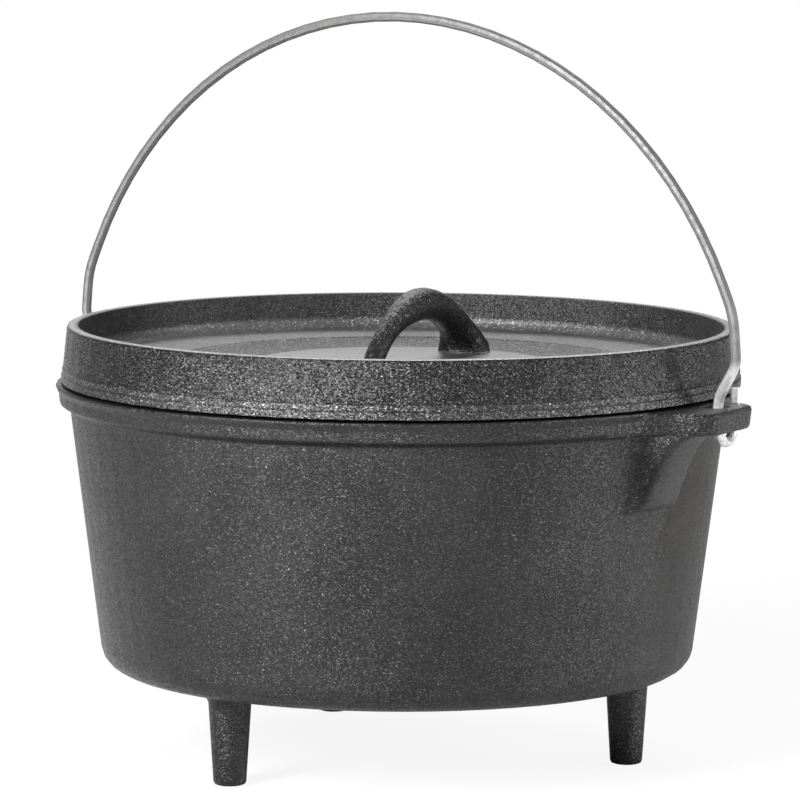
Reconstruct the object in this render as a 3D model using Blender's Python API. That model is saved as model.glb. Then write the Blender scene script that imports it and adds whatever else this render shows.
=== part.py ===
"""A three-legged cast iron camp pot with a flanged lid and a wire bail.

Metres, +Z up. The origin is on the ground under the middle of the pot and the
two ears lie along X. The pot casting carries its legs, ears and gussets, the
lid casting carries its loop handle, and the bail is one bent wire that hooks
round a bar of iron in each ear.
"""

import math

import bmesh
import bpy
from mathutils import Vector

# Pot body
POT_HEIGHT = 0.140
FOOT_R = 0.1445
SHOULDER_R = 0.1609
POT_WALL = 0.0044
POT_FLOOR = 0.0048
HEEL_FILLET = 0.011
INNER_HEEL_FILLET = 0.012

# Rim band and the bead on it
BAND_DEPTH = 0.0102
BAND_PROUD = 0.0047
BAND_TAPER = 0.0026
BAND_ROOT_ROUND = 0.0012
BEAD_PROUD = 0.0019
BEAD_DEPTH = 0.0049
BEAD_FLAT = 0.0013
RIM_ROUND = 0.0010
RIM_DROP = 0.0009
SEAT_WIDE = 0.0044

# Legs
LEG_COUNT = 3
LEG_LENGTH = 0.0448
LEG_INSET = 0.0290
LEG_TOP_R = 0.0103
LEG_SOLE_R = 0.0078
LEG_FLARE = 0.0025
LEG_SOLE_ROUND = 0.0016
LEG_TURN = math.radians(-99.5)

# Ears
EAR_REACH = 0.0244
EAR_DRAFT = 0.0014
EAR_SLANT = 0.0035
EAR_DROP = 0.0010
EAR_THICK = 0.0112
EAR_EDGE = 0.0020
EAR_FRONT_TIP = 0.0195
EAR_FRONT_ROOT = 0.0305
EAR_BACK = 0.0254
EAR_CORNER = 0.0100
EAR_ROOT_FILLET = 0.0300
EAR_ROOT_RUN = 0.0260
EAR_REAR_FILLET = 0.0030
SINK = 0.0003

# Gusset under the front half of each ear
GUSSET_INSET = 0.0001
GUSSET_BACK = 0.0032
GUSSET_DEPTH = 0.0375
GUSSET_SETBACK = 0.0082
GUSSET_SLOPE = 0.0103
GUSSET_TOE = 0.0060
GUSSET_TOE_SHARE = 0.15
GUSSET_BACK_ROUND = 0.0035
GUSSET_FRONT_ROUND = 0.0065
GUSSET_ROOT_ROUND = 0.0250
GUSSET_ROOT_RUN = 0.0180

# Bail wire and the hooks at its ends
WIRE_R = 0.00245
BAR_WIDTH = 0.0174
HOOK_PLAY = 0.0005
HOOK_IN = 0.0112
HOOK_SKEW = 0.0050
HOOK_TIP_RISE = 0.0120
BAIL_BULGE = 0.0086
BAIL_RISE = 0.1844
BAIL_PLANE = -0.0020
KINK_RISE = 0.0268
KINK_OUT = 0.0130
ARCH_END_RISE = 0.0640
ARM_BEND_RISE = 0.0501
NECK_RISE = 0.0095
BEND_R = 0.0120
ARM_BEND_R = 0.0450

# Slot in each ear that the wire runs through
SLOT_FRONT_PLAY = 0.0020
SLOT_OUT_PLAY = 0.0008
SLOT_IN_PLAY = 0.0002
SLOT_ROUND = 0.0030

# Lid
SEAT_GAP = 0.0003
LID_SHIFT_X = 0.0012
LID_SHIFT_Y = 0.0008
LID_INSET = 0.0011
LID_HEIGHT = 0.0278
FLANGE_WALL = 0.0054
FLANGE_FOOT_ROUND = 0.0004
LIP_OUT_ROUND = 0.0013
LIP_IN_ROUND = 0.0006
FLANGE_DRAFT = 0.0020
LEDGE_STEP = 0.0005
LEDGE_LOW = 0.0039
LEDGE_HIGH = 0.0071
LID_FLOOR = 0.0098
LID_PLATE = 0.0042
LID_DISH = 0.0020
RING_R = 0.114
RING_STEP = 0.0005
DISC_R = 0.0755
DISC_PROUD = 0.0006
SKIRT_PLAY = 0.0021
SKIRT_WALL = 0.0040
SKIRT_DROP = 0.0040

# Loop handle on the lid, from the far foot over the top to the near foot
LOOP_HALF = 0.0605
LOOP_HEIGHT = 0.0290
LOOP_SHIFT_X = 0.0066
LOOP_SHIFT_Y = 0.0053
LOOP_TURN = math.radians(101.6)
LOOP_ROOT = 0.0025
FAR_FOOT_THICK, FAR_FOOT_WIDE = 0.0110, 0.0139
FAR_LEG_THICK, FAR_LEG_WIDE = 0.0072, 0.0086
TOP_THICK, TOP_WIDE = 0.0080, 0.0081
NEAR_LEG_THICK, NEAR_LEG_WIDE = 0.0054, 0.0049
NEAR_FOOT_THICK, NEAR_FOOT_WIDE = 0.0078, 0.0085

# Fineness of the turned and rounded faces
TURN_STEPS = 66
LEG_STEPS = 20
ARC_STEPS = 4
SMALL_ARC_STEPS = 2
SMALL_RADIUS = 0.0025

# Sizes that follow from the ones above
RIM_Z = LEG_LENGTH + POT_HEIGHT
BAND_R = SHOULDER_R + BAND_PROUD
BEAD_R = BAND_R + BEAD_PROUD
RIM_IN_R = SHOULDER_R - POT_WALL
EAR_TIP = BEAD_R + EAR_REACH
EAR_TOP_Z = RIM_Z - EAR_DROP
EAR_LOW_Z = EAR_TOP_Z - EAR_THICK
PIVOT_Y = EAR_BACK - BAR_WIDTH / 2
PIVOT_Z = EAR_TOP_Z - EAR_THICK / 2
BAR_REACH = math.hypot(BAR_WIDTH / 2 - EAR_EDGE, EAR_THICK / 2 - EAR_EDGE) + EAR_EDGE
HOOK_R = BAR_REACH + HOOK_PLAY + WIRE_R
HOOK_X = BEAD_R + HOOK_IN
BAIL_R = HOOK_X + KINK_OUT + BAIL_BULGE
WALL_SLOPE = (SHOULDER_R - FOOT_R) / (POT_HEIGHT - BAND_DEPTH)


def clear_scene():
    for item in list(bpy.data.objects):
        bpy.data.objects.remove(item, do_unlink=True)


def metal(name, colour, roughness, metallic):
    mat = bpy.data.materials.new(name)
    mat.use_nodes = True
    shader = mat.node_tree.nodes["Principled BSDF"]
    shader.inputs["Base Color"].default_value = (*colour, 1.0)
    shader.inputs["Roughness"].default_value = roughness
    shader.inputs["Metallic"].default_value = metallic
    return mat


def corner(before, point, after, radius, steps):
    """The arc that rounds one corner, no larger than its two sides allow."""
    point = Vector(point)
    back = Vector(before) - point
    ahead = Vector(after) - point
    half = back.angle(ahead) / 2
    if radius <= 0 or half > 1.56:
        return [point]
    reach = min(radius / math.tan(half), 0.49 * back.length, 0.49 * ahead.length)
    radius = reach * math.tan(half)
    middle = (back.normalized() + ahead.normalized()).normalized()
    centre = point + middle * (radius / math.sin(half))
    start = point + back.normalized() * reach - centre
    end = point + ahead.normalized() * reach - centre
    turn = math.pi - 2 * half
    arc = []
    for k in range(steps + 1):
        t = k / steps
        a = math.sin((1 - t) * turn) / math.sin(turn)
        b = math.sin(t * turn) / math.sin(turn)
        arc.append(centre + start * a + end * b)
    return arc


def rounded(points, closed=False):
    """Corner points, each followed by its radius, as one smooth outline."""
    places = [Vector(p[:-1]) for p in points]
    outline = []
    for k, point in enumerate(points):
        if not closed and k in (0, len(points) - 1):
            outline.append(places[k])
            continue
        after = places[(k + 1) % len(places)]
        steps = SMALL_ARC_STEPS if point[-1] < SMALL_RADIUS else ARC_STEPS
        outline.extend(corner(places[k - 1], places[k], after, point[-1], steps))
    return outline


def add_turned(bm, outline, steps):
    verts = [bm.verts.new((p[0], 0.0, p[1])) for p in outline]
    edges = [bm.edges.new(pair) for pair in zip(verts, verts[1:])]
    bmesh.ops.spin(
        bm,
        geom=verts + edges,
        axis=(0.0, 0.0, 1.0),
        cent=(0.0, 0.0, 0.0),
        steps=steps,
        angle=2 * math.pi,
    )
    bmesh.ops.remove_doubles(bm, verts=bm.verts, dist=1e-6)


def add_loft(bm, rings):
    rows = [[bm.verts.new(p) for p in ring] for ring in rings]
    for low, high in zip(rows, rows[1:]):
        for k in range(len(low)):
            bm.faces.new((low[k - 1], low[k], high[k], high[k - 1]))
    bm.faces.new(rows[0])
    bm.faces.new(rows[-1])


def solid(name, bm, mat, place=(0.0, 0.0, 0.0)):
    bmesh.ops.dissolve_degenerate(bm, dist=1e-7, edges=bm.edges)
    bmesh.ops.recalc_face_normals(bm, faces=bm.faces)
    mesh = bpy.data.meshes.new(name)
    bm.to_mesh(mesh)
    bm.free()
    mesh.materials.append(mat)
    mesh.shade_smooth()
    mesh.set_sharp_from_angle(angle=math.radians(35))
    item = bpy.data.objects.new(name, mesh)
    item.location = place
    bpy.context.scene.collection.objects.link(item)
    return item


def combine(host, tool, operation):
    tool.hide_render = True
    tool.display_type = "WIRE"
    step = host.modifiers.new(tool.name, "BOOLEAN")
    step.operation = operation
    step.solver = "EXACT"
    step.object = tool


# Pot casting


def wall_out(z):
    """Outer radius of the tapered wall at a height above the ground."""
    return FOOT_R + (z - LEG_LENGTH) * WALL_SLOPE


def pot_outline():
    band_z = RIM_Z - BAND_DEPTH
    taper_z = band_z - BAND_TAPER
    bead_z = RIM_Z - BEAD_DEPTH
    floor_z = LEG_LENGTH + POT_FLOOR
    seat_r = RIM_IN_R + SEAT_WIDE
    return rounded([
        (0.0, LEG_LENGTH, 0.0),
        (FOOT_R, LEG_LENGTH, HEEL_FILLET),
        (wall_out(taper_z), taper_z, BAND_ROOT_ROUND),
        (BAND_R, band_z, BAND_TAPER / 2),
        (BAND_R + BEAD_PROUD / 4, bead_z, BEAD_PROUD / 2),
        (BEAD_R, RIM_Z - RIM_DROP - BEAD_FLAT, BEAD_PROUD / 2),
        (BEAD_R, RIM_Z - RIM_DROP, RIM_ROUND),
        (seat_r + RIM_DROP, RIM_Z - RIM_DROP, RIM_ROUND),
        (seat_r, RIM_Z, RIM_ROUND / 2),
        (RIM_IN_R, RIM_Z, RIM_ROUND / 2),
        (RIM_IN_R, RIM_Z - BAND_DEPTH, 0.0),
        (wall_out(floor_z) - POT_WALL, floor_z, INNER_HEEL_FILLET),
        (0.0, floor_z, 0.0),
    ])


def make_leg(index, mat):
    angle = LEG_TURN + index * 2 * math.pi / LEG_COUNT
    circle = FOOT_R - LEG_INSET
    outline = rounded([
        (0.0, 0.0, 0.0),
        (LEG_SOLE_R, 0.0, LEG_SOLE_ROUND),
        (LEG_TOP_R, LEG_LENGTH - 2 * LEG_FLARE, 2 * LEG_FLARE),
        (LEG_TOP_R + LEG_FLARE, LEG_LENGTH, 0.0),
        (LEG_TOP_R + LEG_FLARE, LEG_LENGTH + POT_FLOOR / 2, 0.0),
        (0.0, LEG_LENGTH + POT_FLOOR / 2, 0.0),
    ])
    bm = bmesh.new()
    add_turned(bm, outline, LEG_STEPS)
    place = (circle * math.cos(angle), circle * math.sin(angle), 0.0)
    return solid(f"leg_{index}", bm, mat, place)


def circle_x(radius, y):
    """Where a circle about the pot's axis lies, at a distance y off the X axis."""
    return math.sqrt(radius ** 2 - y ** 2)


def ear_front_y(x):
    """The ear's splayed front edge."""
    root = circle_x(BEAD_R, EAR_FRONT_ROOT)
    share = (x - root) / (EAR_TIP - root)
    return -EAR_FRONT_ROOT + (EAR_FRONT_ROOT - EAR_FRONT_TIP) * share


def on_front(radius):
    """Where the ear's front edge, carried on both ways, crosses a circle about the axis."""
    x = radius
    for _ in range(8):
        x = circle_x(radius, ear_front_y(x))
    return x, ear_front_y(x)


def run_in(radius, run):
    """Corner on the front edge and the point where a line from it touches the circle."""
    place = on_front(math.hypot(radius, run))
    angle = math.atan2(place[1], place[0]) - math.atan2(run, radius)
    return place, (radius * math.cos(angle), radius * math.sin(angle))


def ear_outline(tip):
    """Plan of the ear: a splayed front edge, a straight back edge, a round tip."""
    root, start = run_in(BAND_R - SINK, EAR_ROOT_RUN)
    sunk_r = BAND_R - (BAND_PROUD + POT_WALL) / 3
    sunk_angle = math.atan2(start[1], start[0]) - 0.05
    rear_y = EAR_BACK + 2 * EAR_REAR_FILLET
    return rounded([
        (SHOULDER_R - POT_WALL / 3, 0.0, 0.0),
        (sunk_r * math.cos(sunk_angle), sunk_r * math.sin(sunk_angle), 0.0),
        (start[0], start[1], 0.0),
        (*root, EAR_ROOT_FILLET),
        (tip, ear_front_y(tip), EAR_CORNER),
        (tip - EAR_SLANT, EAR_BACK, EAR_CORNER),
        (circle_x(BEAD_R, EAR_BACK), EAR_BACK, EAR_REAR_FILLET),
        (circle_x(SHOULDER_R, rear_y), rear_y, 0.0),
    ], closed=True)


def make_ear(side, mat):
    low = [(side * p[0], p[1], EAR_LOW_Z) for p in ear_outline(EAR_TIP - EAR_DRAFT)]
    high = [(side * p[0], p[1], EAR_TOP_Z) for p in ear_outline(EAR_TIP)]
    bm = bmesh.new()
    add_loft(bm, [low, high])
    bmesh.ops.recalc_face_normals(bm, faces=bm.faces)
    rims = [e for e in bm.edges if abs(e.verts[0].co.z - e.verts[1].co.z) < 1e-7]
    bmesh.ops.bevel(
        bm,
        geom=rims,
        offset=EAR_EDGE,
        offset_type="OFFSET",
        segments=2,
        profile=0.5,
        affect="EDGES",
    )
    return solid(f"ear_{'right' if side > 0 else 'left'}", bm, mat)


def toe_share(share):
    """How much of the toe's thickness is left: it rounds off over its last stretch."""
    past = max(share - 1.0 + GUSSET_TOE_SHARE, 0.0) / GUSSET_TOE_SHARE
    return math.sqrt(max(1.0 - past ** 2, 0.01))


def gusset_ring(side, z, share):
    """Plan of the gusset at one height: share runs from 0 under the ear to 1 at its toe."""
    wall_r = wall_out(z)
    toe = toe_share(share)
    fillet = EAR_TIP - GUSSET_SETBACK - SHOULDER_R - GUSSET_TOE - GUSSET_SLOPE
    slope = GUSSET_SLOPE * (1 - share) ** 1.3 + fillet * (1 - share) ** 12
    reach = wall_r + GUSSET_TOE * toe + slope
    front = on_front(reach)
    root, start = run_in(wall_r - SINK, GUSSET_ROOT_RUN * math.sqrt(toe))
    sunk = 1.0 - POT_WALL / 3 / wall_r
    outline = rounded([
        (circle_x(sunk * wall_r, GUSSET_BACK), -GUSSET_BACK, 0.0),
        (reach, -GUSSET_BACK, GUSSET_BACK_ROUND),
        (front[0], front[1] + GUSSET_INSET, GUSSET_FRONT_ROUND),
        (root[0], root[1] + GUSSET_INSET, GUSSET_ROOT_ROUND),
        (start[0], start[1], 0.0),
        (sunk * start[0], sunk * start[1], 0.0),
    ], closed=True)
    return [(side * p[0], p[1], z) for p in outline]


def make_gusset(side, mat):
    bm = bmesh.new()
    top = EAR_LOW_Z + EAR_THICK / 2
    rings = [gusset_ring(side, top, 0.0)]
    for share in (0.0, 0.03, 0.07, 0.12, 0.2, 0.34, 0.52, 0.7, 0.85, 0.93, 0.98, 1.0):
        rings.append(gusset_ring(side, EAR_LOW_Z - share * GUSSET_DEPTH, share))
    add_loft(bm, rings)
    return solid(f"gusset_{'right' if side > 0 else 'left'}", bm, mat)


def slot_ring(side, z, grow):
    """Plan of the slot, larger by grow all round, at one height."""
    front = PIVOT_Y - HOOK_R - WIRE_R - SLOT_FRONT_PLAY - grow
    back = PIVOT_Y - BAR_WIDTH / 2 + grow
    outer = HOOK_X + WIRE_R + SLOT_OUT_PLAY + grow
    inner = HOOK_X - HOOK_SKEW - WIRE_R + SLOT_IN_PLAY - grow
    size = SLOT_ROUND + grow
    outline = rounded([
        (inner, front, size),
        (outer, front, size),
        (outer, back, size),
        (inner, back, size),
    ], closed=True)
    return [(side * p[0], p[1], z) for p in outline]


def make_slot(side, mat):
    """Cutter for the slot, belled out at both faces of the ear."""
    bm = bmesh.new()
    rings = []
    levels = (-0.5, 0.0, 0.3, 0.65, 1.0)
    for level in levels:
        depth = max(level, 0.0) * EAR_EDGE
        grow = EAR_EDGE - math.sqrt(EAR_EDGE ** 2 - (EAR_EDGE - depth) ** 2)
        rings.append(slot_ring(side, EAR_LOW_Z + level * EAR_EDGE, grow))
    for level in reversed(levels):
        depth = max(level, 0.0) * EAR_EDGE
        grow = EAR_EDGE - math.sqrt(EAR_EDGE ** 2 - (EAR_EDGE - depth) ** 2)
        rings.append(slot_ring(side, EAR_TOP_Z - level * EAR_EDGE, grow))
    add_loft(bm, rings)
    return solid(f"slot_{'right' if side > 0 else 'left'}", bm, mat)


def make_pot(mat):
    bm = bmesh.new()
    add_turned(bm, pot_outline(), TURN_STEPS)
    pot = solid("pot", bm, mat)
    for index in range(LEG_COUNT):
        combine(pot, make_leg(index, mat), "UNION")
    for side in (1, -1):
        combine(pot, make_ear(side, mat), "UNION")
        combine(pot, make_gusset(side, mat), "UNION")
        combine(pot, make_slot(side, mat), "DIFFERENCE")
    return pot


# Lid casting


def lid_outline():
    """Half section of the lid, with z measured from the rim it rests on.

    The lid lies loose and a little to one side, as far as its skirt allows.
    """
    foot_r = BEAD_R - LID_INSET
    waist_r = foot_r - 2 * LEDGE_STEP
    top_r = waist_r - FLANGE_DRAFT
    top_in = top_r - FLANGE_WALL
    floor_in = top_in - FLANGE_DRAFT / 2
    skirt_r = RIM_IN_R - SKIRT_PLAY
    skirt_in = skirt_r - SKIRT_WALL
    ring_z = LID_FLOOR - RING_STEP
    dish_z = LID_FLOOR - LID_DISH
    disc_z = dish_z + DISC_PROUD
    under_z = dish_z - LID_PLATE
    return rounded([
        (0.0, under_z, 0.0),
        (skirt_in, under_z, SKIRT_WALL / 2),
        (skirt_in, -SKIRT_DROP, SKIRT_WALL / 4),
        (skirt_r, -SKIRT_DROP, SKIRT_WALL / 4),
        (skirt_r, SEAT_GAP, 0.0),
        (foot_r, SEAT_GAP, FLANGE_FOOT_ROUND),
        (foot_r, LEDGE_LOW, 0.0),
        (foot_r - LEDGE_STEP, LEDGE_LOW + LEDGE_STEP, 0.0),
        (foot_r - LEDGE_STEP, LEDGE_HIGH, 0.0),
        (waist_r, LEDGE_HIGH + LEDGE_STEP, 0.0),
        (top_r, LID_HEIGHT, LIP_OUT_ROUND),
        (top_in, LID_HEIGHT, LIP_IN_ROUND),
        (floor_in, LID_FLOOR, FLANGE_WALL),
        (RING_R + RING_STEP, LID_FLOOR - RING_STEP / 2, 0.0),
        (RING_R, ring_z - RING_STEP / 2, 0.0),
        (DISC_R + DISC_PROUD, dish_z, 0.0),
        (DISC_R, disc_z, 0.0),
        (0.0, disc_z, 0.0),
    ])


def blend(stations, t):
    """Value at t between stations of (place, value), eased so that it has no kinks."""
    for (t0, v0), (t1, v1) in zip(stations, stations[1:]):
        if t <= t1:
            s = (t - t0) / (t1 - t0)
            return v0 + (v1 - v0) * s * s * (3 - 2 * s)
    return stations[-1][1]


def loop_centre(t):
    """Point on the handle's middle line: t runs from 0 at the far foot to 1."""
    angle = math.pi * t
    c = math.cos(angle)
    s = math.sin(angle)
    along = LOOP_HALF * math.copysign(abs(c) ** 1.10, c)
    up = LOOP_HEIGHT * abs(s) ** 1.34
    return Vector((along, up))


def loop_ring(t, sides):
    """Oval section of the handle, square to its middle line."""
    thick = blend((
        (0.0, FAR_FOOT_THICK), (0.22, FAR_LEG_THICK), (0.5, TOP_THICK),
        (0.76, NEAR_LEG_THICK), (0.93, NEAR_LEG_THICK), (1.0, NEAR_FOOT_THICK),
    ), t)
    wide = blend((
        (0.0, FAR_FOOT_WIDE), (0.22, FAR_LEG_WIDE), (0.5, TOP_WIDE),
        (0.76, NEAR_LEG_WIDE), (0.93, NEAR_LEG_WIDE), (1.0, NEAR_FOOT_WIDE),
    ), t)
    ahead = loop_centre(min(t + 0.01, 1.0)) - loop_centre(max(t - 0.01, 0.0))
    normal = Vector((ahead.y, -ahead.x)).normalized()
    middle = loop_centre(t)
    ring = []
    for k in range(sides):
        angle = 2 * math.pi * k / sides
        spot = middle + normal * (thick * math.cos(angle))
        ring.append((spot.x, wide * math.sin(angle), max(spot.y, 0.0)))
    return ring


def loop_foot(ring, drop):
    return [(p[0], p[1], drop) for p in ring]


def make_loop(mat):
    """Loop handle, its feet sunk into the lid's plate as one casting."""
    sides = 16
    count = 22
    disc_z = LID_FLOOR - LID_DISH + DISC_PROUD
    rings = [loop_ring(k / count, sides) for k in range(count + 1)]
    rings[0] = loop_foot(rings[0], -LOOP_ROOT)
    rings[-1] = loop_foot(rings[-1], -LOOP_ROOT)
    bm = bmesh.new()
    add_loft(bm, rings)
    place = (LID_SHIFT_X + LOOP_SHIFT_X, LID_SHIFT_Y + LOOP_SHIFT_Y, RIM_Z + disc_z)
    loop = solid("loop", bm, mat, place)
    loop.rotation_euler.z = LOOP_TURN
    return loop


def make_lid(mat):
    bm = bmesh.new()
    add_turned(bm, lid_outline(), TURN_STEPS)
    lid = solid("lid", bm, mat, (LID_SHIFT_X, LID_SHIFT_Y, RIM_Z))
    combine(lid, make_loop(mat), "UNION")
    return lid


# Bail wire


def hook_points():
    """Right-hand hook from the neck down through the slot and up behind the bar."""
    points = []
    steps = 12
    for k in range(steps + 1):
        angle = math.pi * k / steps
        x = HOOK_X - HOOK_SKEW * (1 - math.cos(angle)) / 2
        y = -HOOK_R * math.cos(angle)
        z = -HOOK_R * math.sin(angle)
        points.append(Vector((x, y, z)))
    tip = points[-1] + Vector((0.0, 0.0, HOOK_TIP_RISE))
    points.append(tip)
    return points


def neck_points(last_arch, hook_top):
    """Bends between the arch and the hook: down the arm, in over the ear, then down."""
    slope = (last_arch.z + BAIL_R - BAIL_RISE) / last_arch.x
    arm_x = last_arch.x + slope * (last_arch.z - ARM_BEND_RISE)
    arm = Vector((arm_x, last_arch.y, ARM_BEND_RISE))
    kink = Vector((HOOK_X + KINK_OUT, BAIL_PLANE - PIVOT_Y, KINK_RISE))
    neck = Vector((HOOK_X, -HOOK_R, NECK_RISE))
    bends = corner(last_arch, arm, kink, ARM_BEND_R, ARC_STEPS)
    bends += corner(arm, kink, neck, BEND_R, ARC_STEPS + 2)
    bends += corner(kink, neck, hook_top, BEND_R, ARC_STEPS)
    return bends


def bail_points():
    """Whole wire from the left tip over the arch to the right tip, about the pivot."""
    centre_z = BAIL_RISE - BAIL_R
    stop = math.asin((ARCH_END_RISE - centre_z) / BAIL_R)
    arch = []
    steps = 17
    for k in range(steps + 1):
        angle = math.pi / 2 + (stop - math.pi / 2) * k / steps
        x = BAIL_R * math.cos(angle)
        z = centre_z + BAIL_R * math.sin(angle)
        arch.append(Vector((x, BAIL_PLANE - PIVOT_Y, z)))
    hook = hook_points()
    right = arch + neck_points(arch[-1], hook[0]) + hook
    left = [Vector((-p.x, p.y, p.z)) for p in reversed(right[1:])]
    return left + right


def make_bail(mat):
    curve = bpy.data.curves.new("bail", "CURVE")
    curve.dimensions = "3D"
    curve.bevel_depth = WIRE_R
    curve.bevel_resolution = 3
    curve.use_fill_caps = True
    points = bail_points()
    spline = curve.splines.new("POLY")
    spline.points.add(len(points) - 1)
    for spot, point in zip(spline.points, points):
        spot.co = (*point, 1.0)
    spline.use_smooth = True
    curve.materials.append(mat)
    bail = bpy.data.objects.new("bail", curve)
    bail.location = (0.0, PIVOT_Y, PIVOT_Z)
    bpy.context.scene.collection.objects.link(bail)
    return bail


def main():
    clear_scene()
    iron = (0.062, 0.062, 0.064)
    make_pot(metal("pot_iron", iron, 0.62, 0.55))
    make_lid(metal("lid_iron", iron, 0.60, 0.55))
    make_bail(metal("zinc_wire", (0.62, 0.62, 0.60), 0.28, 1.0))


main()
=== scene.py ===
"""Looks for the cast iron camp pot: materials, studio light and the camera.

Lengths are in metres. Heights are measured from the ground, as in the frame. A
pair of places, such as WALL_R, is where a change or a part begins and ends.
"""

import math

import bpy
from mathutils import Matrix, Vector


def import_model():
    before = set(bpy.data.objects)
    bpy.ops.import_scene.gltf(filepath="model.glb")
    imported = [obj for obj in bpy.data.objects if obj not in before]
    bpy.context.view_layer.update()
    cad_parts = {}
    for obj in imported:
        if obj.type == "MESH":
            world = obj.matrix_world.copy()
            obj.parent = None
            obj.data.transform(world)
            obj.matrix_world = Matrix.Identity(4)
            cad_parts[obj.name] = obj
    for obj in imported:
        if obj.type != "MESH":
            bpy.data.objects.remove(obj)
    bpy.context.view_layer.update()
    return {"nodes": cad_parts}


# Height of the pot's rim
RIM_Z = 0.1848

# Camera, fitted to the outlines in the photograph. Turns are in radians.
CAMERA_TURN = math.radians(34)
CAMERA_AWAY = 2.28223
CAMERA_UP = 0.26119
CAMERA_PITCH = 0.1182
CAMERA_YAW = 0.0004
CAMERA_ROLL = 0.0046
CAMERA_LENS = 210.75
SENSOR_WIDTH = 36.0
CLIP_NEAR, CLIP_FAR = 0.05, 200.0

# The lid: radii from its own axis
LID_AXIS = (0.0012, 0.0008, 0.0)
DISC_R = 0.0755
DISC_Z = RIM_Z + 0.0084
RING_R = 0.1140
FLOOR_Z = RIM_Z + 0.0098
FLANGE_IN_R = 0.1580
LID_OUT_R = 0.1600
LIP_Z = RIM_Z + 0.0278

# Where the looks of the lid's parts begin and end
OUTSIDE_R = (LID_OUT_R - 0.0006, LID_OUT_R + 0.0006)
DISC_EDGE_R = (DISC_R - 0.0004, DISC_R)
DISC_FACE_Z = (DISC_Z - 0.0008, DISC_Z + 0.0003)
DISC_SOFT = 0.0003
LOOP_FOOT_R = (DISC_R, DISC_R + 0.0040)
LOOP_FOOT_Z = (DISC_Z + 0.0003, DISC_Z + 0.0012)
WALL_R = (FLANGE_IN_R - 0.0060, FLANGE_IN_R - 0.0010)
WALL_FOOT_Z = (FLOOR_Z + 0.0035, FLOOR_Z + 0.0065)
SHELF_R = (RING_R - 0.0030, RING_R + 0.0060)
LIP_R = (FLANGE_IN_R - 0.0010, FLANGE_IN_R + 0.0025)
LIP_EDGE_Z = (LIP_Z - 0.0005, LIP_Z - 0.0001)
LEDGE_Z = (RIM_Z, RIM_Z + 0.0076)
LEDGE_SOFT = 0.0006

# Where the looks round the ears begin and end: X is the distance from the middle
EAR_LOW_Z = RIM_Z - 0.0122
EAR_SIDE_X = (0.0900, 0.1200)
UNDER_EAR_Z = (EAR_LOW_Z, EAR_LOW_Z + 0.0010)
GUSSET_BACK_Y = (-0.0044, -0.0034)
GUSSET_EDGE_Y = (-0.0036, -0.0030)
GUSSET_FACE_Y = (-0.0300, -0.0120)
GUSSET_FOOT_Z = (EAR_LOW_Z - 0.0400, EAR_LOW_Z - 0.0300)
OILED_SHADED_END_Y = (0.0300, 0.1300)
OILED_SHADED_LOW_Z = (EAR_LOW_Z - 0.1200, EAR_LOW_Z - 0.0300)
HOLLOW_Y = (-0.0350, -0.0290)
HOLLOW_SOFT_Y = 0.0035
HOLLOW_Z = (EAR_LOW_Z - 0.0330, EAR_LOW_Z - 0.0070)
HOLLOW_SOFT_Z = 0.0060

# Below the gussets the body's shading is rounded more
PLAIN_BODY_Z = (0.1000, 0.1250)

# The bail's necks and hooks, painted bright as a highlight
NECK_TOP_Z = (0.2000, 0.2080)
HOOK_LOW_Z = (0.1500, 0.1560)


# Nodes


def node(tree, kind, settings=None, **inputs):
    """A new shader node. Input names are written with _ for a space."""
    item = tree.nodes.new(kind)
    for key, value in (settings or {}).items():
        setattr(item, key, value)
    for key, value in inputs.items():
        feed(tree, item.inputs[key.replace("_", " ")], value)
    return item


def feed(tree, socket, value):
    """Link an output to the socket, or set the socket's own value."""
    if isinstance(value, bpy.types.NodeSocket):
        tree.links.new(value, socket)
    else:
        socket.default_value = value


def maths(tree, operation, *values, clamp=False):
    item = node(tree, "ShaderNodeMath", {"operation": operation, "use_clamp": clamp})
    for socket, value in zip(item.inputs, values):
        feed(tree, socket, value)
    return item.outputs[0]


def times(tree, *values):
    result = values[0]
    for value in values[1:]:
        result = maths(tree, "MULTIPLY", result, value)
    return result


def vector_maths(tree, operation, *values):
    item = node(tree, "ShaderNodeVectorMath", {"operation": operation})
    for socket, value in zip(item.inputs, values):
        feed(tree, socket, value)
    scalar = operation in ("LENGTH", "DOT_PRODUCT")
    return item.outputs["Value" if scalar else "Vector"]


def scaled(tree, vector, factor):
    item = node(tree, "ShaderNodeVectorMath", {"operation": "SCALE"})
    feed(tree, item.inputs[0], vector)
    feed(tree, item.inputs["Scale"], factor)
    return item.outputs["Vector"]


def ramp(tree, value, low, high, out_low=0.0, out_high=1.0):
    """Smooth step from out_low to out_high as the value goes from low to high."""
    item = node(tree, "ShaderNodeMapRange", {"interpolation_type": "SMOOTHSTEP"})
    for name, number in (
        ("From Min", low), ("From Max", high),
        ("To Min", out_low), ("To Max", out_high),
    ):
        feed(tree, item.inputs[name], number)
    feed(tree, item.inputs["Value"], value)
    return item.outputs["Result"]


def fall(tree, value, low, high):
    """1 below low, and 0 above high."""
    return ramp(tree, value, low, high, 1.0, 0.0)


def band(tree, value, low, high, soft):
    """1 between low and high, 0 outside, with soft edges."""
    up = ramp(tree, value, low - soft, low + soft)
    return times(tree, up, fall(tree, value, high - soft, high + soft))


def blended(tree, factor, a, b):
    item = node(tree, "ShaderNodeMix", {"data_type": "FLOAT"})
    feed(tree, item.inputs["Factor"], factor)
    feed(tree, item.inputs["A"], a)
    feed(tree, item.inputs["B"], b)
    return item.outputs["Result"]


def mixed(tree, data_type, places, factor, a, b):
    """A mix of two colours or vectors: places are the sockets of a, b and result."""
    item = node(tree, "ShaderNodeMix", {"data_type": data_type})
    feed(tree, item.inputs["Factor"], factor)
    feed(tree, item.inputs[places[0]], a)
    feed(tree, item.inputs[places[1]], b)
    return item.outputs[places[2]]


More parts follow.
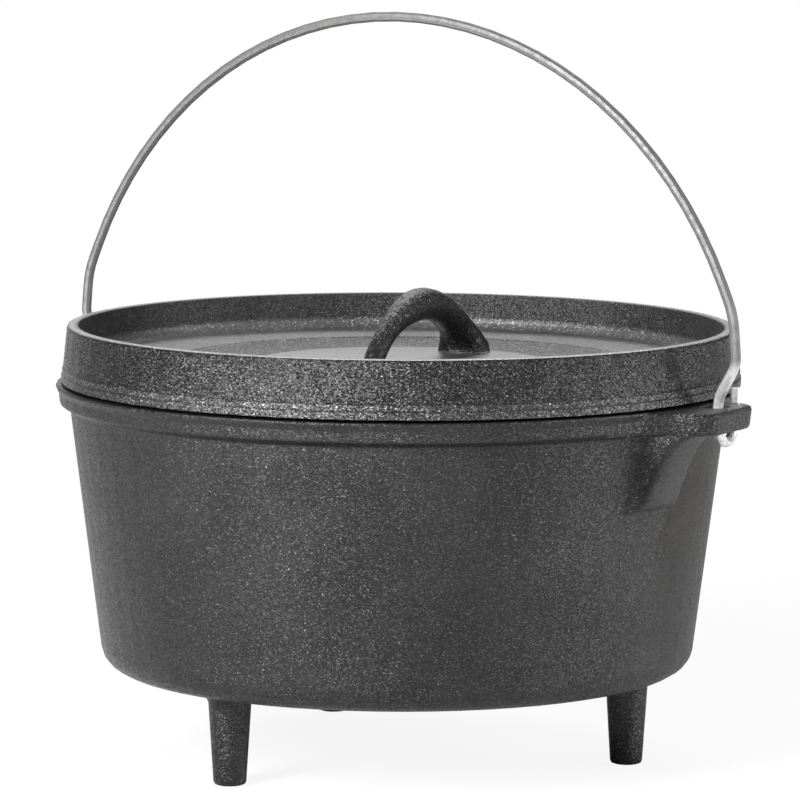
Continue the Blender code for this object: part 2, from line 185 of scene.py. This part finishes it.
def tinted(tree, factor, a, b):
    return mixed(tree, "RGBA", (6, 7, 2), factor, a, b)


def mixed_vector(tree, factor, a, b):
    return mixed(tree, "VECTOR", (4, 5, 1), factor, a, b)


def grey(level, warm=0.0):
    return (level * (1 + warm), level, level * (1 - warm), 1.0)


def noise(tree, place, size, detail=2.0, rough=0.5, output="Fac"):
    item = node(
        tree, "ShaderNodeTexNoise",
        Vector=place, Scale=1.0 / size, Detail=detail, Roughness=rough,
    )
    return item.outputs[output]


def cells(tree, place, size):
    item = node(tree, "ShaderNodeTexVoronoi", Vector=place, Scale=1.0 / size)
    return item.outputs["Color"]


def bump(tree, height, depth):
    item = node(tree, "ShaderNodeBump", Strength=1.0, Distance=depth, Height=height)
    return item.outputs["Normal"]


def softened(tree, radius):
    """The face's normal, rounded over its edges by a radius."""
    item = node(tree, "ShaderNodeBevel", {"samples": 6}, Radius=radius)
    return item.outputs["Normal"]


def split(tree, vector):
    item = node(tree, "ShaderNodeSeparateXYZ")
    feed(tree, item.inputs[0], vector)
    return item.outputs


def joined(tree, x, y, z):
    item = node(tree, "ShaderNodeCombineXYZ")
    for socket, value in zip(item.inputs, (x, y, z)):
        feed(tree, socket, value)
    return item.outputs[0]


def object_place(tree):
    return node(tree, "ShaderNodeTexCoord").outputs["Object"]


def new_material(name):
    mat = bpy.data.materials.new(name)
    mat.use_nodes = True
    tree = mat.node_tree
    tree.nodes.clear()
    shader = node(tree, "ShaderNodeBsdfPrincipled")
    out = node(tree, "ShaderNodeOutputMaterial")
    tree.links.new(shader.outputs["BSDF"], out.inputs["Surface"])
    return mat, tree, shader


# Cast iron

# How much of the iron's light is mirrored rather than scattered
IRON_METALLIC = 0.88

# Height of a sand grain over its width
GRAIN_SHAPE = 0.7

# Shades: the ground where it is dark and light, a painted glint on a grain, and a
# grain's size
POT_SHADE = (grey(0.023), grey(0.040), grey(0.085), 0.00055)
# Behind each gusset: a warm tint of seasoning, and darker with fewer bright grains as
# painted shade
OILED_AND_PAINTED_SHADE = (grey(0.020, 0.05), grey(0.040, 0.06), grey(0.052, 0.05), 0.0008)
LID_SHADE = (grey(0.023), grey(0.045), grey(0.080), 0.0006)
WALL_SHADE = (grey(0.020), grey(0.044), grey(0.090), 0.0006)
# Paler on the lid's shelf: painted light, for the lamp above falling on it
SHELF_PAINTED_LIGHT = (grey(0.060), grey(0.110), grey(0.220), 0.0008)
LEDGE_SHADE = (grey(0.032), grey(0.070), grey(0.180), 0.0006)
LOOP_SHADE = (grey(0.020), grey(0.038), grey(0.130), 0.0007)
# Painted light brightening the front of each gusset
GUSSET_PAINTED_LIGHT = grey(0.090)
GUSSET_PAINTED_LIGHT_SHARE = 0.5
# Painted shade darkening the hollow in front of each gusset
HOLLOW_PAINTED_SHADE = grey(0.010)
HOLLOW_PAINTED_SHADE_SHARE = 0.85
# Painted highlight along the top edge of the lid's flange
LIP_PAINTED_HIGHLIGHT = grey(0.160)
DISC_GREY = grey(0.235)
DISC_MARK = grey(0.175)
DISC_MARK_SIZE = 0.007

# How a shade varies
CLOUD_SIZE = 0.050
CLOUD_SHARE = 0.45
MOTTLE_SHARE = 0.40
# Grains painted as glints: where a grain's random number starts and ends their share
PAINTED_GLINT_GRAINS = (0.80, 1.00)

# Roughness: where its pattern is low and high, and on parts that differ
ROUGH_SIZE = 0.0012
POT_ROUGH = (0.50, 0.34)
OILED_ROUGH = 0.50
LID_ROUGH = (0.42, 0.27)
LID_PART_ROUGH = {"wall": 0.55, "shelf": 0.50, "loop": 0.42, "disc": 0.34}
LID_PART_METALLIC = {"wall": 0.60, "ledge": 0.75, "shelf": 0.40}

# Grain: how far its rolling, fine and facet patterns tip the face, and its size
POT_TILTS = (0.6, 1.0, 0.6)
POT_GRAIN = 0.0010
LID_FINE_SHARE = 1.1
LID_FACET_SHARE = 0.5
LID_PART_TILT = {"band": 1.35, "loop": 0.90, "lip": 0.40, "shelf": 0.60}
LID_GRAIN = 0.0011

# Radius that the shading is rounded by, at edges and on plain curved faces
EDGE_ROUND = 0.0010
BODY_ROUND = 0.0060
LOOP_ROUND = 0.0035

# How far the lid's outer faces are shaded as if they looked up
BAND_UP = 0.18
LEDGE_UP = 0.32

# Turning marks on the disc
TURNING_SIZE = 0.0004
TURNING_DEPTH = 0.00002


def lean(tree, pattern, tilt):
    """How far a pattern of random colours tips the surface, to all sides."""
    centred = vector_maths(tree, "SUBTRACT", pattern, (0.5, 0.5, 0.5))
    return scaled(tree, centred, tilt)


def grained(tree, place, tilts, size, normal):
    """Normal of a sand-cast face: rolling grain, fine grain, and facets that glint."""
    patterns = (
        noise(tree, place, size, 1.0, 0.5, "Color"),
        noise(tree, place, size * 0.5, 1.0, 0.5, "Color"),
        cells(tree, place, size * 0.6),
    )
    for pattern, tilt in zip(patterns, tilts):
        normal = vector_maths(tree, "ADD", normal, lean(tree, pattern, tilt))
    return vector_maths(tree, "NORMALIZE", normal)


def flatter(tree, place):
    """Coordinates in which every pattern comes out lower than it is wide."""
    return vector_maths(tree, "MULTIPLY", place, (1.0, 1.0, 1.0 / GRAIN_SHAPE))


def iron_colour(tree, place, dark, light, glint, size):
    """Dark grey that varies over the casting, with a painted glint on a grain here and
    there.
    """
    cloud = noise(tree, place, CLOUD_SIZE, 3.0, 0.6)
    cloud = ramp(tree, cloud, 0.35, 0.65, 0.0, CLOUD_SHARE)
    mottle = noise(tree, place, size * 2.0, 1.0)
    mottle = ramp(tree, mottle, 0.30, 0.70, 0.0, MOTTLE_SHARE)
    body = tinted(tree, maths(tree, "ADD", cloud, mottle, clamp=True), dark, light)
    chance = split(tree, cells(tree, place, size))[0]
    return tinted(tree, ramp(tree, chance, *PAINTED_GLINT_GRAINS), body, glint)


def roughness(tree, place, ends):
    return ramp(tree, noise(tree, place, ROUGH_SIZE, 2.0, 0.6), 0.3, 0.7, *ends)


def ear_masks(tree, x, y, z):
    """Where each part round the ears is: 1 on it and 0 elsewhere."""
    side = ramp(tree, maths(tree, "ABSOLUTE", x), *EAR_SIDE_X)
    below = fall(tree, z, *UNDER_EAR_Z)
    return {
        # The smooth wall behind each gusset: oily with a warm tint of seasoning, and
        # darker as painted shade
        "oily_and_shaded": times(
            tree, side,
            ramp(tree, y, *GUSSET_BACK_Y),
            fall(tree, y, *OILED_SHADED_END_Y),
            ramp(tree, z, *OILED_SHADED_LOW_Z),
            below,
        ),
        # The front of each gusset, painted a little brighter as painted light
        "face": times(
            tree, side,
            ramp(tree, y, *GUSSET_FACE_Y),
            fall(tree, y, *GUSSET_EDGE_Y),
            ramp(tree, z, *GUSSET_FOOT_Z),
            below,
        ),
        # The hollow in front of each gusset, darkened with painted shade
        "hollow": times(
            tree, side,
            band(tree, y, *HOLLOW_Y, HOLLOW_SOFT_Y),
            band(tree, z, *HOLLOW_Z, HOLLOW_SOFT_Z),
        ),
    }


def pot_iron():
    mat, tree, shader = new_material("pot_iron")
    place = object_place(tree)
    low = flatter(tree, place)
    x, y, z = split(tree, place)
    masks = ear_masks(tree, x, y, z)

    shader.inputs["Metallic"].default_value = IRON_METALLIC
    colour = iron_colour(tree, low, *POT_SHADE)
    # Behind each gusset: a warm oiled tint, darkened as painted shade
    colour = tinted(tree, masks["oily_and_shaded"], colour, iron_colour(tree, low, *OILED_AND_PAINTED_SHADE))
    # Painted light on the front of each gusset
    colour = tinted(tree, times(tree, masks["face"], GUSSET_PAINTED_LIGHT_SHARE), colour, GUSSET_PAINTED_LIGHT)
    # Painted shade in the hollow in front of each gusset
    colour = tinted(tree, times(tree, masks["hollow"], HOLLOW_PAINTED_SHADE_SHARE), colour, HOLLOW_PAINTED_SHADE)
    feed(tree, shader.inputs["Base Color"], colour)

    rough = blended(tree, masks["oily_and_shaded"], roughness(tree, place, POT_ROUGH), OILED_ROUGH)
    feed(tree, shader.inputs["Roughness"], rough)

    smooth = softened(tree, ramp(tree, z, *PLAIN_BODY_Z, BODY_ROUND, EDGE_ROUND))
    normal = grained(tree, low, POT_TILTS, POT_GRAIN, smooth)
    feed(tree, shader.inputs["Normal"], normal)
    return mat


def lid_masks(tree, place):
    """Where each part of the lid is, and how far from the lid's axis."""
    x, y, z = split(tree, vector_maths(tree, "SUBTRACT", place, LID_AXIS))
    radius = vector_maths(tree, "LENGTH", joined(tree, x, y, 0.0))
    inside = fall(tree, radius, *OUTSIDE_R)
    outside = maths(tree, "SUBTRACT", 1.0, inside)
    masks = {
        "disc": times(
            tree,
            fall(tree, radius, *DISC_EDGE_R),
            band(tree, z, *DISC_FACE_Z, DISC_SOFT),
        ),
        "loop": times(
            tree,
            fall(tree, radius, *LOOP_FOOT_R),
            ramp(tree, z, *LOOP_FOOT_Z),
        ),
        "wall": times(
            tree, inside,
            ramp(tree, radius, *WALL_R),
            ramp(tree, z, *WALL_FOOT_Z),
        ),
        "shelf": times(
            tree, inside,
            ramp(tree, radius, *SHELF_R),
            fall(tree, z, *WALL_FOOT_Z),
        ),
        "lip": times(
            tree,
            ramp(tree, radius, *LIP_R),
            ramp(tree, z, *LIP_EDGE_Z),
        ),
        "band": outside,
        "ledge": times(tree, outside, band(tree, z, *LEDGE_Z, LEDGE_SOFT)),
    }
    return masks, radius


def by_part(tree, masks, value, parts):
    """The value, changed to each named part's own where that part is."""
    for name, own in parts.items():
        value = blended(tree, masks[name], value, own)
    return value


def lid_colour(tree, place, low, masks):
    colour = iron_colour(tree, low, *LID_SHADE)
    for name, spot, shade in (
        ("wall", place, WALL_SHADE),
        # The shelf is paler as painted light
        ("shelf", place, SHELF_PAINTED_LIGHT),
        ("ledge", low, LEDGE_SHADE),
        ("loop", place, LOOP_SHADE),
    ):
        colour = tinted(tree, masks[name], colour, iron_colour(tree, spot, *shade))
    # Painted highlight on the flange's top edge
    colour = tinted(tree, masks["lip"], colour, LIP_PAINTED_HIGHLIGHT)
    marks = ramp(tree, noise(tree, place, DISC_MARK_SIZE, 5.0, 0.75), 0.55, 0.65)
    machined = tinted(tree, marks, DISC_GREY, DISC_MARK)
    return tinted(tree, masks["disc"], colour, machined)


def lid_normal(tree, low, masks, radius):
    tilt = by_part(tree, masks, 1.0, LID_PART_TILT)
    fine = times(tree, tilt, LID_FINE_SHARE)
    tilts = (tilt, fine, times(tree, tilt, LID_FACET_SHARE))
    smooth = softened(tree, blended(tree, masks["loop"], EDGE_ROUND, LOOP_ROUND))
    cast = grained(tree, low, tilts, LID_GRAIN, smooth)
    up = blended(tree, masks["ledge"], times(tree, masks["band"], BAND_UP), LEDGE_UP)
    raised = scaled(tree, joined(tree, 0.0, 0.0, 1.0), up)
    cast = vector_maths(tree, "NORMALIZE", vector_maths(tree, "ADD", cast, raised))

    turned = noise(tree, joined(tree, radius, 0.0, 0.0), TURNING_SIZE, 2.0, 0.6)
    return mixed_vector(tree, masks["disc"], cast, bump(tree, turned, TURNING_DEPTH))


def lid_iron():
    mat, tree, shader = new_material("lid_iron")
    place = object_place(tree)
    low = flatter(tree, place)
    masks, radius = lid_masks(tree, place)

    metallic = by_part(tree, masks, IRON_METALLIC, LID_PART_METALLIC)
    rough = by_part(tree, masks, roughness(tree, place, LID_ROUGH), LID_PART_ROUGH)
    feed(tree, shader.inputs["Metallic"], metallic)
    feed(tree, shader.inputs["Base Color"], lid_colour(tree, place, low, masks))
    feed(tree, shader.inputs["Roughness"], rough)
    feed(tree, shader.inputs["Normal"], lid_normal(tree, low, masks, radius))
    return mat


# Zinc-plated wire

WIRE_METALLIC = 0.72
NECK_METALLIC = 0.70
WIRE_EDGE_TINT = grey(0.7)
WIRE_CLOUD_SIZE = 0.004
WIRE_GREYS = (grey(0.15), grey(0.19, 0.01))
WIRE_ROUGH = (0.62, 0.52)
# Painted highlight on the bail's necks and hooks, in a blotchy pattern
NECK_HIGHLIGHT_PATTERN_SIZE = 0.0025
NECK_PAINTED_HIGHLIGHT = (grey(0.58), grey(0.74))
NECK_ROUGH = 0.45
WIRE_WAVE = 0.003
WIRE_WAVE_DEPTH = 0.00001


def zinc_wire():
    mat, tree, shader = new_material("zinc_wire")
    shader.inputs["Specular Tint"].default_value = WIRE_EDGE_TINT
    place = object_place(tree)
    z = split(tree, place)[2]
    neck = times(tree, fall(tree, z, *NECK_TOP_Z), ramp(tree, z, *HOOK_LOW_Z))
    metallic = blended(tree, neck, WIRE_METALLIC, NECK_METALLIC)
    feed(tree, shader.inputs["Metallic"], metallic)

    cloud = noise(tree, place, WIRE_CLOUD_SIZE, 4.0, 0.65)
    dull = tinted(tree, ramp(tree, cloud, 0.35, 0.65), *WIRE_GREYS)
    # Painted highlight on the neck and hook
    neck_highlight_pattern = ramp(tree, noise(tree, place, NECK_HIGHLIGHT_PATTERN_SIZE, 3.0, 0.6), 0.42, 0.62)
    bright = tinted(tree, neck_highlight_pattern, *NECK_PAINTED_HIGHLIGHT)
    feed(tree, shader.inputs["Base Color"], tinted(tree, neck, dull, bright))

    rough = ramp(tree, cloud, 0.3, 0.7, *WIRE_ROUGH)
    feed(tree, shader.inputs["Roughness"], blended(tree, neck, rough, NECK_ROUGH))
    normal = bump(tree, noise(tree, place, WIRE_WAVE, 1.0), WIRE_WAVE_DEPTH)
    feed(tree, shader.inputs["Normal"], normal)
    return mat


def dress(nodes):
    for name, mat in (("pot", pot_iron()), ("lid", lid_iron()), ("bail", zinc_wire())):
        item = nodes[name]
        for slot in item.material_slots:
            slot.material = mat
        if not item.material_slots:
            item.data.materials.append(mat)


# Studio

FLOOR_FAR = 60.0
FLOOR_SINK = -0.0002
FLOOR_GREY = grey(0.85)
WHITE = grey(1.0)

# Distances over which the camera sees the floor turn to plain white, and how much
# of it is plain white at each, which leaves the pot its shadow
SEEN_FLOOR = (0.35, 0.90, 0.90, 1.00)

# Distances over which gloss sees the floor turn to plain white
MIRRORED_FLOOR = (0.60, 2.50)

# Dark parts of the studio: the middle, as a turn to the right of the camera and a
# height in degrees, the cosines of the angles from it where the part starts and is
# full, and its level
DARK_PARTS = (
    (0, 10, -0.20, 0.70, 0.07),
    (140, 10, 0.72, 0.92, 0.06),
    (-120, 22, 0.76, 0.92, 0.08),
)
SCATTERED_LEVEL = 0.62

# Lamps: name, turn to the right of the camera and height in degrees, distance,
# width, height, and power in watts
LAMPS = (
    ("key", -40, 24, 1.7, 0.5, 0.6, 62),
    ("side", 80, 9, 1.7, 0.4, 0.9, 22),
    ("back", 175, 42, 1.8, 1.2, 0.6, 14),
)
LAMP_TARGET = Vector((0.0, 0.0, 0.16))


def make_camera():
    data = bpy.data.cameras.new("camera")
    data.sensor_width = SENSOR_WIDTH
    data.lens = CAMERA_LENS
    data.clip_start = CLIP_NEAR
    data.clip_end = CLIP_FAR
    camera = bpy.data.objects.new("camera", data)
    spot = Vector((
        CAMERA_AWAY * math.sin(CAMERA_TURN),
        -CAMERA_AWAY * math.cos(CAMERA_TURN),
        CAMERA_UP + RIM_Z,
    ))
    camera.matrix_world = (
        Matrix.Translation(spot)
        @ Matrix.Rotation(CAMERA_TURN - CAMERA_YAW, 4, "Z")
        @ Matrix.Rotation(math.pi / 2 - CAMERA_PITCH, 4, "X")
        @ Matrix.Rotation(CAMERA_ROLL, 4, "Z")
    )
    bpy.context.scene.collection.objects.link(camera)
    bpy.context.scene.camera = camera


def round_the_pot(turn, height_angle, away=1.0):
    """A place seen from the pot: turn is to the right of the camera, in degrees."""
    t = math.radians(turn)
    e = math.radians(height_angle)
    ahead = Vector((math.sin(CAMERA_TURN), -math.cos(CAMERA_TURN), 0.0))
    right = Vector((math.cos(CAMERA_TURN), math.sin(CAMERA_TURN), 0.0))
    level = ahead * math.cos(t) + right * math.sin(t)
    return (level * math.cos(e) + Vector((0, 0, math.sin(e)))) * away


def add_lamp(name, turn, height_angle, away, width, height, power):
    data = bpy.data.lights.new(name, "AREA")
    data.shape = "RECTANGLE"
    data.size = width
    data.size_y = height
    data.energy = power
    lamp = bpy.data.objects.new(name, data)
    offset = round_the_pot(turn, height_angle, away)
    lamp.location = LAMP_TARGET + offset
    lamp.rotation_euler = (-offset).to_track_quat("-Z", "Y").to_euler()
    bpy.context.scene.collection.objects.link(lamp)


def mirrored_ray(tree, path):
    """1 for what gloss or glass shows."""
    rays = (path.outputs["Is Glossy Ray"], path.outputs["Is Transmission Ray"])
    return maths(tree, "MAXIMUM", *rays)


def floor_material():
    mat = bpy.data.materials.new("studio_floor")
    mat.use_nodes = True
    tree = mat.node_tree
    tree.nodes.clear()
    matt = node(tree, "ShaderNodeBsdfDiffuse", Color=FLOOR_GREY)
    glow = node(tree, "ShaderNodeEmission", Color=WHITE, Strength=1.0)
    path = node(tree, "ShaderNodeLightPath")
    away = vector_maths(tree, "LENGTH", object_place(tree))
    seen = times(tree, path.outputs["Is Camera Ray"], ramp(tree, away, *SEEN_FLOOR))
    shown = times(tree, mirrored_ray(tree, path), ramp(tree, away, *MIRRORED_FLOOR))
    mix = node(tree, "ShaderNodeMixShader")
    feed(tree, mix.inputs[0], maths(tree, "MAXIMUM", seen, shown))
    tree.links.new(matt.outputs[0], mix.inputs[1])
    tree.links.new(glow.outputs[0], mix.inputs[2])
    out = node(tree, "ShaderNodeOutputMaterial")
    tree.links.new(mix.outputs[0], out.inputs["Surface"])
    return mat


def make_floor():
    mesh = bpy.data.meshes.new("studio_floor")
    corners = [
        (x * FLOOR_FAR, y * FLOOR_FAR, FLOOR_SINK)
        for x, y in ((-1, -1), (1, -1), (1, 1), (-1, 1))
    ]
    mesh.from_pydata(corners, [], [(0, 1, 2, 3)])
    mesh.materials.append(floor_material())
    floor = bpy.data.objects.new("studio_floor", mesh)
    bpy.context.scene.collection.objects.link(floor)


def make_world():
    """A white studio that is darker behind the camera and at the back on both sides."""
    world = bpy.data.worlds.new("studio")
    bpy.context.scene.world = world
    world.use_nodes = True
    tree = world.node_tree
    tree.nodes.clear()
    path = node(tree, "ShaderNodeLightPath")
    place = node(tree, "ShaderNodeTexCoord").outputs["Generated"]
    levels = []
    for turn, height_angle, start, full, level in DARK_PARTS:
        middle = tuple(round_the_pot(turn, height_angle))
        nearness = vector_maths(tree, "DOT_PRODUCT", place, middle)
        levels.append(ramp(tree, nearness, start, full, 1.0, level))
    levels.append(blended(tree, mirrored_ray(tree, path), SCATTERED_LEVEL, 1.0))
    studio = times(tree, *levels)
    strength = maths(tree, "MAXIMUM", studio, path.outputs["Is Camera Ray"])
    back = node(tree, "ShaderNodeBackground", Color=WHITE, Strength=strength)
    out = node(tree, "ShaderNodeOutputWorld")
    tree.links.new(back.outputs[0], out.inputs["Surface"])


def make_studio():
    make_world()
    make_floor()
    for lamp in LAMPS:
        add_lamp(*lamp)


def main():
    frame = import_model()
    bpy.context.scene.view_settings.view_transform = "Standard"
    make_camera()
    make_studio()
    dress(frame["nodes"])


main()
